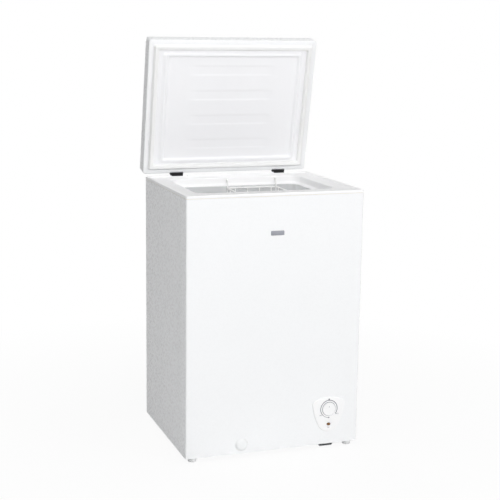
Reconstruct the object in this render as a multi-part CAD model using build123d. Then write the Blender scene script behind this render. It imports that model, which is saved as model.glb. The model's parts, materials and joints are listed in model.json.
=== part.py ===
from build123d import *
from math import atan2, cos, degrees, pi, sin
import os

# Chest freezer with its lid lifted, in millimetres: X to the right, Y to the back, Z up, floor at Z = 0
cabinet_width = 545.0
cabinet_depth = 450.0
shell_height = 770.0
foot_height = 14.0
lid_depth = 429.5
lid_thickness = 50.0
lid_overhang = 2.5
lid_gap = 10.0
lid_open_angle = 78.5
cabinet_shift = -26.0  # the origin lies midway between the knob's face and the open lid's back
sheet = 0.8

# Faces of the cabinet
left, right = -cabinet_width / 2, cabinet_width / 2
front, back = cabinet_shift - cabinet_depth / 2, cabinet_shift + cabinet_depth / 2
shell_bottom = foot_height
rim = shell_bottom + shell_height
cabinet_corner = 5.0

# Collar round the mouth: flat rim, drafted wall, then a small ledge down to the tub
rim_side, rim_front, rim_back = 56.0, 76.0, 60.0
collar_skirt = 5.0
collar_wall = 2.5
collar_round = 2.0
mouth_corner = 39.0
funnel_depth, funnel_draft = 20.0, 2.0
ledge_width, ledge_drop = 7.0, 4.0

# Tub, with a raised floor over the compressor room
tub_floor = shell_bottom + 62.0
tub_inset = funnel_draft + ledge_width
tub_corner = mouth_corner - tub_inset
tub_top = rim - funnel_depth - ledge_drop - collar_wall
tub_flange = 8.0
tub_round = 8.0
room_left = 82.0
room_top = 240.0
room_insulation = 54.0
step_x = room_left - room_insulation
step_z = room_top + room_insulation

# Coils of flattened tube
coil_tube = 7.0
coil_slack = 0.5
coil_turns, coil_pitch, coil_start = 5, 78.0, 330.0
coil_jog = 60.0
condenser_runs, condenser_pitch = 8, 56.0
condenser_low, condenser_high = 310.0, 690.0
condenser_tube = 6.0

# Lid, worked out in its closed place and then swung open
lid_back = back - 7.5
lid_front = lid_back - lid_depth
lid_base = rim + lid_gap
lid_top = lid_base + lid_thickness
lid_corner = 12.0
lid_round = 10.0
lid_lower_round = 3.0
lid_flange = 13.0
panel_inset = lid_flange + 1.0
panel_wall = 2.6
ridge_inset_x, ridge_inset_y = 44.5, 33.8
ridge_height, ridge_flank, ridge_top = 8.8, 9.0, 5.5
ridge_step_drop, ridge_step_run = 4.5, 5.0
ridge_corner, recess_corner = 19.0, 9.0
band_count, band_pitch, band_first = 4, 79.0, 78.0
band_length, band_width, band_depth, band_slope = 300.0, 34.0, 1.0, 4.0
band_corner = 12.0
gasket_inset, gasket_width = 16.0, 16.0
gasket_clearance = 0.3
gasket_corner = 6.0

# Hinges behind the cabinet
hinge_y = back + 6.0
hinge_z = rim - 10.0
hinge_centres = {"left": -164.5, "right": 182.0}
hinge_ear, hinge_span = 4.0, 52.0
arm_width = 43.0
arm_plate = 2.5
arm_lip = 6.0
arm_leg = 34.0
pin_radius, running_gap = 3.0, 0.05
barrel_radius = 5.5
screw_radius, screw_head = 4.0, 3.0

# Controls low on the right of the front
control_x = 177.0
knob_z = foot_height + 110.5
lamp_z = foot_height + 62.6
bezel_depth, bezel_taper = 4.0, 25.0
knob_radius, knob_depth = 20.5, 12.5
knob_gap = 0.4
shaft_radius = 3.0
bush_radius = 6.0
lamp_half_width, lamp_half_height, lamp_proud = 6.0, 4.5, 2.5
lamp_body = 4.4

# Drain, from the tub's floor to the front
drain_x = -100.5
drain_z = foot_height + 27.0
drain_behind = 112.0
drain_bore, drain_wall, drain_bend = 6.0, 2.0, 20.0
cap_radius, cap_proud, cap_sunk = 17.0, 6.0, 3.0
outlet_radius, outlet_depth, outlet_cup = 19.2, 12.0, 5.0

# Basket of coated wire
basket_left, basket_right = -27.0, 141.0
basket_top, basket_depth = rim - 33.0, 190.0
frame_wire, mesh_wire = 2.0, 1.5
weld_gap = 0.05
basket_wall_gap = 6.0
basket_long_wires = (0.0, 41.0, 81.0, 121.0)
basket_cross_wires = 6

# Compressor room
tray_sheet = 1.5
tray_rib_left, tray_rib_right, tray_rib_drop, tray_rib_slope = 151.0, 190.0, 7.0, 4.0
compressor_x, compressor_y = 179.0, back - 110.0
grommet_height, grommet_radius = 12.0, 9.0
grommet_x, grommet_y = 62.0, 48.0
plate_sheet = 2.5
compressor_radius = 62.0

# Feet
foot_x, foot_y = 247.0, 19.0
foot_radius = 14.0


def block(x0, x1, y0, y1, z0, z1):
    middle = Pos((x0 + x1) / 2, (y0 + y1) / 2, (z0 + z1) / 2)
    return middle * Box(x1 - x0, y1 - y0, z1 - z0)


def inset(bounds, dx, dy=None):
    x0, x1, y0, y1 = bounds
    dy = dx if dy is None else dy
    return x0 + dx, x1 - dx, y0 + dy, y1 - dy


def outline(bounds, z, radius, facets=0):
    # a rounded rectangle, whose corners may be a few straight bends just outside the true arcs
    x0, x1, y0, y1 = bounds
    if not facets:
        return Pos((x0 + x1) / 2, (y0 + y1) / 2, z) * RectangleRounded(x1 - x0, y1 - y0, radius)
    x0, x1, y0, y1 = inset(bounds, radius)
    step = pi / 2 / facets
    reach = radius / cos(step / 2)
    points = []
    for quarter, (x, y) in enumerate(((x1, y1), (x0, y1), (x0, y0), (x1, y0))):
        for index in range(facets):
            angle = quarter * pi / 2 + (index + 0.5) * step
            points.append((x + reach * cos(angle), y + reach * sin(angle)))
    return Pos(0, 0, z) * make_face(Polyline(*points, close=True))


def prism(bounds, z0, z1, radius, facets=0):
    return extrude(outline(bounds, z0, radius, facets), z1 - z0)


def drafted(face, height, grow):
    # a length up from the ground plane that widens evenly by grow on every side
    slope = degrees(atan2(abs(grow), height))
    if grow <= 0:
        return extrude(face, height, taper=slope)
    narrowing = extrude(offset(face, grow, kind=Kind.INTERSECTION), height, taper=slope)
    return Pos(0, 0, height) * mirror(narrowing, Plane.XY)


def stacked(bounds, levels, radius, facets=0):
    # drafted lengths one on another, each level an inset of the bounds and a height
    form = None
    for (run, z), (next_run, next_z) in zip(levels, levels[1:]):
        face = outline(inset(bounds, run), 0, radius - run, facets)
        length = Pos(0, 0, z) * drafted(face, next_z - z, run - next_run)
        form = length if form is None else form + length
    return form


def eased_slab(bounds, z0, z1, corner, low_round, high_round, facets=3):
    # a slab whose lower and upper edges are eased by a few flat facets each
    levels = []
    for index in range(facets + 1):
        angle = pi / 2 * index / facets
        levels.append((low_round * (1 - sin(angle)), z0 + low_round * (1 - cos(angle))))
    for index in range(facets + 1):
        angle = pi / 2 * index / facets
        levels.append((high_round * (1 - cos(angle)), z1 - high_round * (1 - sin(angle))))
    levels = list(dict.fromkeys(levels))  # a sharp edge gives one level
    return stacked(bounds, levels, corner, facets)


def section(plane, radius, sides):
    if not sides:
        return plane * Circle(radius)
    return plane * RegularPolygon(radius, sides, major_radius=False, rotation=180 / sides)


def rod(start, end, radius, sides=0):
    start, end = Vector(*start), Vector(*end)
    return extrude(section(Plane(start, z_dir=end - start), radius, sides), (end - start).length)


def eased_route(points, bend):
    corners = [Vector(*point) for point in points]
    route = [corners[0]]
    for before, corner, after in zip(corners, corners[1:], corners[2:]):
        route.append(corner + (before - corner).normalized() * bend)
        route.append(corner + (after - corner).normalized() * bend)
    return [*route, corners[-1]]


def bent_tube(points, bend, radius, sides=8):
    # bends are two mitres each, and the section keeps one flat square to the plane of the bends
    route = eased_route(points, bend)
    start = route[1] - route[0]
    plane = Plane(route[0], x_dir=start.cross(route[2] - route[1]), z_dir=start)
    return sweep(section(plane, radius, sides), Polyline(*route), transition=Transition.RIGHT)


def hex_head(x, y, z, height):
    face = Plane((x, y, z), z_dir=(0, 1, 0)) * RegularPolygon(screw_radius, 6)
    return extrude(face, height)


def turned(place, rings, sides):
    # a turned form with flat sides: each length runs from one ring to the next along the place's Z
    form = None
    for (z, radius), (next_z, next_radius) in zip(rings, rings[1:]):
        ring = RegularPolygon(radius, sides, major_radius=False, rotation=180 / sides)
        length = place * Pos(0, 0, z) * drafted(ring, next_z - z, next_radius - radius)
        form = length if form is None else form + length
    return form


def faceted_ellipse(half_width, half_height, sides=20):
    turns = [2 * pi * index / sides for index in range(sides)]
    return make_face(Polyline(*[(half_width * cos(t), half_height * sin(t)) for t in turns], close=True))


def front_plane(x, z, y=None):
    return Plane((x, front if y is None else y, z), x_dir=(1, 0, 0), z_dir=(0, -1, 0))


cabinet_bounds = (left, right, front, back)
mouth_bounds = (left + rim_side, right - rim_side, front + rim_front, back - rim_back)
tub_bounds = inset(mouth_bounds, tub_inset)
lid_bounds = (left - lid_overhang, right + lid_overhang, lid_front, lid_back)
opened = Pos(0, hinge_y, hinge_z) * Rot(-lid_open_angle, 0, 0) * Pos(0, -hinge_y, -hinge_z)


def outer_cabinet():
    top = rim - collar_skirt
    wrap = prism(cabinet_bounds, shell_bottom, top, cabinet_corner)
    wrap -= prism(inset(cabinet_bounds, sheet), shell_bottom, top, cabinet_corner - sheet)
    lip = cabinet_corner
    wrap -= block(left + lip, right - lip, back - 2 * sheet, back + sheet, shell_bottom, top)
    slot_count, slot_pitch, slot_height = 9, 15.0, 5.0
    slot_low, slot_front, slot_back = shell_bottom + 60.0, back - 200.0, back - 70.0
    for index in range(slot_count):
        low = slot_low + index * slot_pitch
        wrap -= block(right - lip, right + sheet, slot_front, slot_back, low, low + slot_height)
    hole_depth = 2 * sheet
    for x, z, radius in (
        (control_x, knob_z, bush_radius + 2.0),
        (control_x, lamp_z, lamp_body + 0.2),
        (drain_x, drain_z, outlet_radius + 0.3),
    ):
        wrap -= rod((x, front - hole_depth, z), (x, front + hole_depth, z), radius, 24)
    return wrap


cover_margin = 10.0
cover_opening = (room_left + 12.0, right - 18.0, shell_bottom + 14.0, room_top - 14.0)


def rear_panel():
    lip = cabinet_corner
    panel = block(left + lip, right - lip, back - sheet, back, shell_bottom, rim - collar_skirt)
    x0, x1, z0, z1 = cover_opening
    return panel - block(x0, x1, back - 2 * sheet, back + sheet, z0, z1)


def within_wrap(shape):
    return shape & prism(inset(cabinet_bounds, sheet), 0, rim, cabinet_corner - sheet)


def base_pan():
    return within_wrap(block(left, room_left, front, back, shell_bottom, shell_bottom + 1.0))


def compartment_wall():
    wall = block(room_left, right, front, back, shell_bottom + 1.0, room_top + sheet)
    wall -= block(room_left + sheet, right, front, back, shell_bottom, room_top)
    return within_wrap(wall)


def collar_form(grow, facets=0):
    ledge = rim - funnel_depth
    levels = ((tub_inset, tub_top), (tub_inset, ledge - ledge_drop), (funnel_draft, ledge), (0, rim))
    return stacked(inset(mouth_bounds, -grow), levels, mouth_corner + grow, facets)


def top_collar():
    cap = eased_slab(cabinet_bounds, rim - collar_skirt, rim, cabinet_corner, 0, collar_round, 2)
    hollow = inset(cabinet_bounds, collar_wall)
    cap -= prism(hollow, rim - collar_skirt, rim - collar_wall, cabinet_corner - collar_wall, 2)
    return cap + collar_form(collar_wall, 4) - collar_form(0)


def tub_form(grow):
    x0, x1, y0, y1 = inset(tub_bounds, -grow)
    tub = prism((x0, x1, y0, y1), tub_floor - grow, tub_top, tub_corner + grow)
    tub -= block(step_x + grow, x1 + 1, y0 - 1, y1 + 1, tub_floor - 2 * grow - 1, step_z - grow)
    floors = tub.faces().filter_by(Axis.Z).sort_by(Axis.Z)[:2]
    rims = [edge for face in floors for edge in face.edges()]
    lower = [edge for edge in rims if abs(edge.center().Z - (tub_floor - grow)) < 0.1]
    return chamfer(lower, tub_round)


def inner_liner():
    flange = prism(inset(tub_bounds, -tub_flange), tub_top - sheet, tub_top, tub_corner + tub_flange)
    liner = tub_form(sheet) + flange - tub_form(0)
    drain_y = front + drain_behind
    hole = rod((drain_x, drain_y, tub_floor - 2), (drain_x, drain_y, tub_floor + 2), drain_bore + 0.3, 12)
    return liner - hole


def evaporator_coil(grow=0.0):
    inner = inset(tub_bounds, -sheet)
    outer = inset(inner, -coil_tube - grow)
    radius = tub_corner + sheet
    y_front = outer[2]
    half = coil_jog / 2
    coil = None
    for turn in range(coil_turns):
        low = coil_start + turn * coil_pitch - grow
        high = low + coil_tube + 2 * grow
        ring = prism(outer, low, high, radius + coil_tube + grow, 3) - prism(inner, low, high, radius, 3)
        ring -= block(-half, half, y_front - 1, inner[2] + 1, low, high)
        coil = ring if coil is None else coil + ring
        if turn + 1 < coil_turns:
            step = Polyline(
                (-half, low), (-half, high), (half, high + coil_pitch), (half, low + coil_pitch), close=True
            )
            jog = Plane((0, y_front, 0), x_dir=(1, 0, 0), z_dir=(0, -1, 0)) * make_face(step)
            coil += extrude(jog, -(inner[2] - y_front))
    return coil


def condenser_coil():
    first = -condenser_pitch * (condenser_runs - 1) / 2
    y = back - sheet - condenser_tube / 2
    route = []
    for run in range(condenser_runs):
        x = first + run * condenser_pitch
        ends = (condenser_low, condenser_high) if run % 2 == 0 else (condenser_high, condenser_low)
        route += [(x, y, z) for z in ends]
    return bent_tube(route, condenser_pitch / 3, condenser_tube / 2, 4)


def cabinet_foam():
    low = shell_bottom + 1.0
    skirt = rim - collar_skirt
    foam = prism(inset(cabinet_bounds, sheet), low, skirt, cabinet_corner - sheet)
    foam += prism(inset(cabinet_bounds, collar_wall), skirt, rim - collar_wall, cabinet_corner - collar_wall, 2)
    foam -= block(room_left, right, front, back, shell_bottom, room_top + sheet)
    foam -= collar_form(collar_wall, 4)
    foam -= prism(inset(tub_bounds, -tub_flange), tub_top - sheet, tub_top, tub_corner + tub_flange, 3)
    tub = prism(inset(tub_bounds, -sheet), low, tub_top, tub_corner + sheet, 3)
    tub -= block(left, right, front, back, shell_bottom, tub_floor - sheet)
    tub -= block(step_x + sheet, right, front, back, shell_bottom, step_z - sheet)
    foam -= tub
    foam -= evaporator_coil(coil_slack)
    reach = condenser_pitch * condenser_runs / 2 + condenser_tube
    depth = condenser_tube + coil_slack
    pocket_low, pocket_high = condenser_low - condenser_pitch, condenser_high + condenser_pitch
    foam -= block(-reach, reach, back - sheet - depth, back, pocket_low, pocket_high)
    foam -= drain_path(drain_bore + drain_wall + 0.4)
    foam -= rod((drain_x, front, drain_z), (drain_x, front + outlet_depth + 1, drain_z), outlet_radius + 5.5, 24)
    return foam


def drain_path(radius):
    y = front + drain_behind
    mouth = (drain_x, front + outlet_cup + 1, drain_z)
    return bent_tube([mouth, (drain_x, y, drain_z), (drain_x, y, tub_floor - sheet)], drain_bend, radius, 12)


def drain_tube():
    return drain_path(drain_bore + drain_wall) - drain_path(drain_bore)


def drain_outlet():
    cup = outlet_radius - 0.8
    tube = drain_bore + drain_wall + 0.4
    deep = (drain_x, front + outlet_depth, drain_z)
    outlet = rod((drain_x, front, drain_z), deep, outlet_radius, 24)
    outlet -= rod((drain_x, front, drain_z), (drain_x, front + outlet_cup, drain_z), cup, 24)
    return outlet - rod((drain_x, front, drain_z), deep, tube, 12)


def drain_cap():
    edge, dish, dish_depth = 1.5, cap_radius - 5, 1.2
    place = front_plane(drain_x, drain_z).location
    rings = ((-cap_sunk, cap_radius), (cap_proud - edge, cap_radius), (cap_proud, cap_radius - edge))
    cap = turned(place, rings, 24)
    face = front - cap_proud
    cap -= rod((drain_x, face + dish_depth, drain_z), (drain_x, face, drain_z), dish, 24)
    cap += block(drain_x - dish, drain_x + dish, face, face + edge, drain_z - 2, drain_z + 2)
    stem_end = front + outlet_cup + 18
    return cap + rod((drain_x, front, drain_z), (drain_x, stem_end, drain_z), drain_bore - 0.7, 8)


def drain_stopper():
    y = front + drain_behind
    low = tub_floor + weld_gap
    head = rod((drain_x, y, low), (drain_x, y, low + 4), 2 * drain_bore, 24)
    head += rod((drain_x, y, low), (drain_x, y, low + 14), drain_bore - 1, 8)
    return head + rod((drain_x, y, low - 14), (drain_x, y, low), drain_bore - 0.8, 8)


def control_bezel():
    top, crown = knob_z + 29.0, knob_z + 37.0
    wide_z, foot_z, foot_low = knob_z + 11.5, knob_z - 56.0, knob_z - 71.8
    left_side = [
        ThreePointArc((-42.0, top), (-51.5, knob_z + 22.0), (-53.0, wide_z)),
        ThreePointArc((-53.0, wide_z), (-46.0, knob_z - 21.0), (-31.0, foot_z)),
    ]
    edges = [
        ThreePointArc((42.0, top), (0.0, crown), (-42.0, top)),
        *left_side,
        ThreePointArc((-31.0, foot_z), (0.0, foot_low), (31.0, foot_z)),
        *[mirror(edge, Plane.YZ) for edge in left_side],
    ]
    plate = front_plane(control_x, 0).location * extrude(make_face(edges), bezel_depth, taper=bezel_taper)
    plate -= rod((control_x, front - 9, knob_z), (control_x, front + 1, knob_z), bush_radius + 0.4, 16)
    slot = front_plane(control_x, lamp_z, front + 1) * faceted_ellipse(lamp_half_width + 0.1, lamp_half_height + 0.1)
    return plate - extrude(slot, bezel_depth + 2)


def thermostat_knob():
    near = front - bezel_depth - knob_gap
    rim_radius, edge = knob_radius - 0.8, 1.2
    rings = ((0, knob_radius), (knob_depth - edge, rim_radius), (knob_depth, rim_radius - edge))
    knob = turned(front_plane(control_x, knob_z, near).location, rings, 36)
    face = near - knob_depth
    knob -= block(control_x - 1, control_x + 1, face - 1, face + 0.8, knob_z + 9, knob_z + knob_radius)
    bore = rod((control_x, near + 1, knob_z), (control_x, face + 3, knob_z), shaft_radius + running_gap)
    return knob - bore


def thermostat_shaft():
    return rod((control_x, front - bezel_depth - 9, knob_z), (control_x, front + 18, knob_z), shaft_radius)


def thermostat():
    body = block(control_x - 22, control_x + 22, front + sheet, front + 38, knob_z - 17, knob_z + 17)
    body += rod((control_x, front - 3.5, knob_z), (control_x, front + 8, knob_z), bush_radius)
    for offset in (-10, 10):
        blade_x = control_x + offset
        body += block(blade_x - 3, blade_x + 3, front + 38, front + 48, knob_z - 1, knob_z)
    bore = shaft_radius + running_gap
    return body - rod((control_x, front - 4, knob_z), (control_x, front + 20, knob_z), bore)


def indicator_lamp():
    edge = 1.0
    depth = bezel_depth - 0.5 + lamp_proud
    face = faceted_ellipse(lamp_half_width, lamp_half_height)
    lens = extrude(face, depth - edge) + Pos(0, 0, depth - edge) * drafted(face, edge, -edge)
    lens = front_plane(control_x, lamp_z, front - 0.5).location * lens
    return lens + rod((control_x, front - 1, lamp_z), (control_x, front + 16, lamp_z), lamp_body, 12)


def compressor_tray():
    y0, y1 = front + sheet, back - sheet
    x0, x1 = room_left + sheet, right - sheet
    top, low = shell_bottom, shell_bottom - tray_rib_drop
    slope = tray_rib_slope
    line = [
        (x0, top), (tray_rib_left - slope, top), (tray_rib_left, low),
        (tray_rib_right, low), (tray_rib_right + slope, top), (x1, top),
    ]
    raised = [(x, z + tray_sheet) for x, z in reversed(line)]
    section = make_face(Polyline(*line, *raised, close=True))
    return within_wrap(extrude(Plane((0, y1, 0), x_dir=(1, 0, 0), z_dir=(0, -1, 0)) * section, y1 - y0))


grommet_base = shell_bottom + tray_sheet
plate_low = grommet_base + grommet_height
plate_high = plate_low + plate_sheet


def compressor_grommets():
    across = (compressor_x - grommet_x, compressor_x + grommet_x)
    along = (compressor_y - grommet_y, compressor_y + grommet_y)
    places = [(x, y) for x in across for y in along]
    return [rod((x, y, grommet_base), (x, y, plate_low), grommet_radius, 12) for x, y in places]


def compressor():
    radius, seam = compressor_radius, 4.0
    rings = (
        (0, 42), (22, radius), (80, radius), (82, radius + seam),
        (84, radius), (118, radius - 3), (152, 36), (160, 12),
    )
    can = turned(Pos(compressor_x, compressor_y, plate_high), rings, 24)
    reach_x, reach_y = grommet_x + 12, grommet_y + 12
    plate = (compressor_x - reach_x, compressor_x + reach_x, compressor_y - reach_y, compressor_y + reach_y)
    return can + prism(plate, plate_low, plate_high, 10, 3)


def start_relay(can):
    y = compressor_y - compressor_radius
    box = block(compressor_x - 24, compressor_x + 24, y - 24, y + 14, plate_high + 30, plate_high + 76)
    box = fillet(box.edges().filter_by(Axis.Z).sort_by(Axis.Y)[:2], 6)
    return box - can


def discharge_pipe(can):
    x, y = compressor_x + 30, compressor_y - compressor_radius
    z = plate_high + 96
    route = [(x, y + 20, z), (x, y - 30, z), (x, y - 30, room_top)]
    return bent_tube(route, 14, 3.2) - can


def suction_pipe(can):
    x, y = compressor_x - compressor_radius, compressor_y + 20
    z = plate_high + 100
    route = [(x + 10, y, z), (x - 18, y, z), (x - 18, y, room_top)]
    return bent_tube(route, 12, 4.5) - can


drier_x, drier_y = 112.0, compressor_y - 120.0


def filter_drier():
    rings = ((90, 2.2), (100, 2.2), (112, 11), (190, 11), (202, 3.2), (room_top, 3.2))
    return turned(Pos(drier_x, drier_y, 0), rings, 12)


def capillary_tube():
    route = [(drier_x, drier_y, 90), (drier_x, drier_y, 60), (room_left + sheet, drier_y, 60)]
    return bent_tube(route, 12, 1.5)


inlet_x, inlet_z = 124.0, shell_bottom + 40.0


def rear_cover():
    x0, x1, z0, z1 = cover_opening
    m = cover_margin
    plate = block(x0 - m, x1 + m, back, back + 1.0, z0 - m, z1 + m)
    count, pitch, height = 8, 16.0, 6.0
    for index in range(count):
        low = z0 + 60 + index * pitch
        plate -= block(x0 + 20, x1 - 20, back - 1, back + 2, low, low + height)
    return plate - rod((inlet_x, back - 1, inlet_z), (inlet_x, back + 2, inlet_z), 8.1)


def rear_cover_screws():
    x0, x1, z0, z1 = cover_opening
    m = cover_margin / 2
    return [hex_head(x, back + 1.0, z, 2.5) for x in (x0 - m, x1 + m) for z in (z0 - m, z1 + m)]


def cord_inlet():
    gland = rod((inlet_x, back - 8, inlet_z), (inlet_x, back + 1, inlet_z), 7.7, 16)
    gland += rod((inlet_x, back + 1, inlet_z), (inlet_x, back + 4, inlet_z), 11.0, 16)
    return gland - rod((inlet_x, back - 9, inlet_z), (inlet_x, back + 5, inlet_z), 4.0, 12)


def feet():
    places = [(x, y) for x in (-foot_x, foot_x) for y in (front + foot_y, back - foot_y)]
    rings = ((0, foot_radius - 2), (foot_height, foot_radius))
    return [turned(Pos(x, y, 0), rings, 20) for x, y in places]


def hinge_bracket(centre):
    half = hinge_span / 2
    plate_high_z = hinge_z - 8.0
    bracket = block(centre - half, centre + half, back, back + 2, plate_high_z - 58, plate_high_z)
    for side in (-1, 1):
        outer = centre + side * half
        inner = outer - side * hinge_ear
        x0, x1 = sorted((inner, outer))
        ear = block(x0, x1, back, hinge_y + 7, plate_high_z - 30, hinge_z)
        ear += rod((x0, hinge_y, hinge_z), (x1, hinge_y, hinge_z), 7.0, 8)
        if side < 0:
            ear += block(x0, x1, back + 1, back + 12, hinge_z, rim + 4)
        ear -= block(x0, x1, back - 2, back, plate_high_z - 40, rim)
        foot = plate_high_z - 31
        slant = Polyline((hinge_y + 7, hinge_z - 12), (hinge_y + 8, foot), (back + 2, foot), close=True)
        side_plane = Plane((x0, 0, 0), x_dir=(0, 1, 0), z_dir=(1, 0, 0))
        ear -= extrude(side_plane * make_face(slant), hinge_ear)
        bracket += ear
    bore = pin_radius + running_gap
    return bracket - rod((centre - half - 1, hinge_y, hinge_z), (centre + half + 1, hinge_y, hinge_z), bore)


def hinge_pins():
    pins = []
    for centre in hinge_centres.values():
        half = hinge_span / 2
        pin = rod((centre - half - 2, hinge_y, hinge_z), (centre + half + 2, hinge_y, hinge_z), pin_radius)
        for x0 in (centre - half - 2, centre + half):
            pin += rod((x0, hinge_y, hinge_z), (x0 + 2, hinge_y, hinge_z), pin_radius + 2, 12)
        pins.append(pin)
    return pins


def hinge_screws():
    places = [(x, z) for x in (-14, 14) for z in (-24, -48)]
    centres = hinge_centres.values()
    return [hex_head(centre + x, back + 2, hinge_z + z, screw_head) for centre in centres for x, z in places]


def lid_hinge_arm(centre):
    x0 = centre - arm_width / 2
    x1 = x0 + arm_width
    leaf = block(x0, x1, lid_back - arm_lip, hinge_y + barrel_radius, lid_base - arm_plate, lid_base)
    leaf += block(x0, x1, lid_back, lid_back + arm_plate, lid_base - arm_plate, lid_base + arm_leg)
    leaf += block(x0, x1, hinge_y + barrel_radius - arm_plate, hinge_y + barrel_radius, hinge_z, lid_base)
    leaf += rod((x0, hinge_y, hinge_z), (x1, hinge_y, hinge_z), barrel_radius)
    bore = rod((x0 - 1, hinge_y, hinge_z), (x1 + 1, hinge_y, hinge_z), pin_radius + running_gap)
    return opened * (leaf - bore)


def lid_hinge_screws():
    places = [(x, z) for x in (-12, 12) for z in (12, 24)]
    y = lid_back + arm_plate
    centres = hinge_centres.values()
    heads = [hex_head(centre + x, y, lid_base + z, screw_head) for centre in centres for x, z in places]
    return [opened * head for head in heads]


def lid_cavity():
    low, high = lid_base + sheet, lid_top - sheet
    inner = inset(lid_bounds, sheet)
    return eased_slab(inner, low, high, lid_corner - sheet, lid_lower_round - sheet, lid_round - sheet, 2)


def lid_outer_shell():
    pan = eased_slab(lid_bounds, lid_base, lid_top, lid_corner, lid_lower_round, lid_round)
    pan -= lid_cavity()
    pan -= prism(inset(lid_bounds, lid_flange), lid_base - 1, lid_base + 2, lid_corner / 2, 3)
    return opened * pan


def ridge_rect(run):
    return inset(lid_bounds, ridge_inset_x + run, ridge_inset_y + run)


def ridge_block(wall):
    crest = lid_base - ridge_height + wall
    run = ridge_flank + wall
    face = outline(ridge_rect(run), 0, ridge_corner - run, 4)
    return Pos(0, 0, crest) * drafted(face, ridge_height, ridge_flank)


def ridge_recess(wall):
    crest = lid_base - ridge_height + wall
    face = outline(ridge_rect(ridge_flank + ridge_top - wall), 0, recess_corner + wall, 4)
    return Pos(0, 0, crest) * drafted(face, ridge_step_drop, -ridge_step_run)


def pressed_bands():
    surface = lid_base - ridge_height + ridge_step_drop
    bands = []
    for index in range(band_count):
        y0 = lid_front + band_first + index * band_pitch
        mouth = (-band_length / 2, band_length / 2, y0, y0 + band_width)
        floor = inset(mouth, 3 * band_slope, band_slope)
        upper = outline(mouth, surface, band_corner, 2)
        lower = outline(floor, surface + band_depth, band_corner - band_slope, 2)
        bands.append(loft([upper, lower], ruled=True))
    return bands


def lid_inner_panel(hollow):
    panel = prism(inset(lid_bounds, panel_inset), lid_base, lid_base + panel_wall, lid_corner / 2, 3)
    panel += ridge_block(0) - ridge_recess(0)
    for band in pressed_bands():
        panel -= band
    return opened * (panel - hollow)


def lid_foam(hollow):
    low = lid_base + panel_wall
    foam = lid_cavity() - block(*lid_bounds, lid_base, low)
    return opened * (foam + hollow)


def lid_gasket():
    low = rim + gasket_clearance
    levels = (lid_base, lid_base - 3.0, lid_base - 5.0, low)
    nips = (0.0, 3.0, 0.5)
    seal = None
    for high, base, nip in zip(levels, levels[1:], nips):
        outer = inset(lid_bounds, gasket_inset + nip)
        inner = inset(lid_bounds, gasket_inset + gasket_width - nip)
        ring = prism(outer, base, high, gasket_corner - nip, 2) - prism(inner, base, high, 2, 1)
        seal = ring if seal is None else seal + ring
    return opened * seal


def wire_basket():
    y0, y1 = tub_bounds[2] + basket_wall_gap, tub_bounds[3] - basket_wall_gap
    x0, x1 = basket_left, basket_right
    low = basket_top - basket_depth
    reach = frame_wire + mesh_wire + weld_gap
    bend = 3 * mesh_wire
    wires = []
    for z, radius in ((basket_top, frame_wire), (basket_top - basket_depth / 2, mesh_wire)):
        middle = (x0 + x1) / 2
        halves = [[(middle, y0, z), (x, y0, z), (x, y1, z), (middle, y1, z)] for x in (x0, x1)]
        wires.append(bent_tube(halves[0], bend, radius) + bent_tube(halves[1], bend, radius))
    for x in basket_long_wires:
        ends = (y0 + reach, y1 - reach)
        points = [(x, ends[0], basket_top), (x, ends[0], low), (x, ends[1], low), (x, ends[1], basket_top)]
        wires.append(bent_tube(points, bend, mesh_wire))
    for index in range(basket_cross_wires):
        y = y0 + (y1 - y0) * (index + 0.5) / basket_cross_wires
        ends = (x0 + reach, x1 - reach)
        z = low - 2 * mesh_wire - weld_gap
        points = [(ends[0], y, basket_top), (ends[0], y, z), (ends[1], y, z), (ends[1], y, basket_top)]
        wires.append(bent_tube(points, bend, mesh_wire))
    crown = rim - 6.0
    rest = rim - funnel_depth + mesh_wire + 0.3
    for x in (x0 + 1.0, x1 - 4.0):
        for wall, side in ((y0, -1), (y1, 1)):
            inner = wall - side * reach
            outer = wall + side * (basket_wall_gap + 3.0)
            points = [(x, inner, low + 40), (x, inner, crown), (x, outer, crown), (x, outer, rest)]
            wires.append(bent_tube(points, bend / 2, mesh_wire))
    return wires


can = compressor()
hollow = ridge_block(panel_wall) - ridge_recess(panel_wall)
nodes = {
    "outer_cabinet": outer_cabinet(),
    "rear_panel": rear_panel(),
    "base_pan": base_pan(),
    "compartment_wall": compartment_wall(),
    "top_collar": top_collar(),
    "inner_liner": inner_liner(),
    "cabinet_foam": cabinet_foam(),
    "evaporator_coil": evaporator_coil(),
    "condenser_coil": condenser_coil(),
    "drain_tube": drain_tube(),
    "drain_outlet": drain_outlet(),
    "drain_cap": drain_cap(),
    "drain_stopper": drain_stopper(),
    "control_bezel": control_bezel(),
    "thermostat_knob": thermostat_knob(),
    "thermostat_shaft": thermostat_shaft(),
    "thermostat": thermostat(),
    "indicator_lamp": indicator_lamp(),
    "compressor_tray": compressor_tray(),
    "compressor_grommets": compressor_grommets(),
    "compressor": can,
    "start_relay": start_relay(can),
    "discharge_pipe": discharge_pipe(can),
    "suction_pipe": suction_pipe(can),
    "filter_drier": filter_drier(),
    "capillary_tube": capillary_tube(),
    "rear_cover": rear_cover(),
    "rear_cover_screws": rear_cover_screws(),
    "cord_inlet": cord_inlet(),
    "feet": feet(),
    "hinge_pins": hinge_pins(),
    "hinge_screws": hinge_screws(),
    "lid_hinge_screws": lid_hinge_screws(),
    "lid_outer_shell": lid_outer_shell(),
    "lid_inner_panel": lid_inner_panel(hollow),
    "lid_foam": lid_foam(hollow),
    "lid_gasket": lid_gasket(),
    "wire_basket": wire_basket(),
}
for side, centre in hinge_centres.items():
    nodes[f"hinge_bracket_{side}"] = hinge_bracket(centre)
    nodes[f"lid_hinge_arm_{side}"] = lid_hinge_arm(centre)

os.makedirs("parts", exist_ok=True)
for name, shape in nodes.items():
    solids = shape if isinstance(shape, list) else shape.solids()
    export_step(Compound(children=solids), f"parts/{name}.step")
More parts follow.
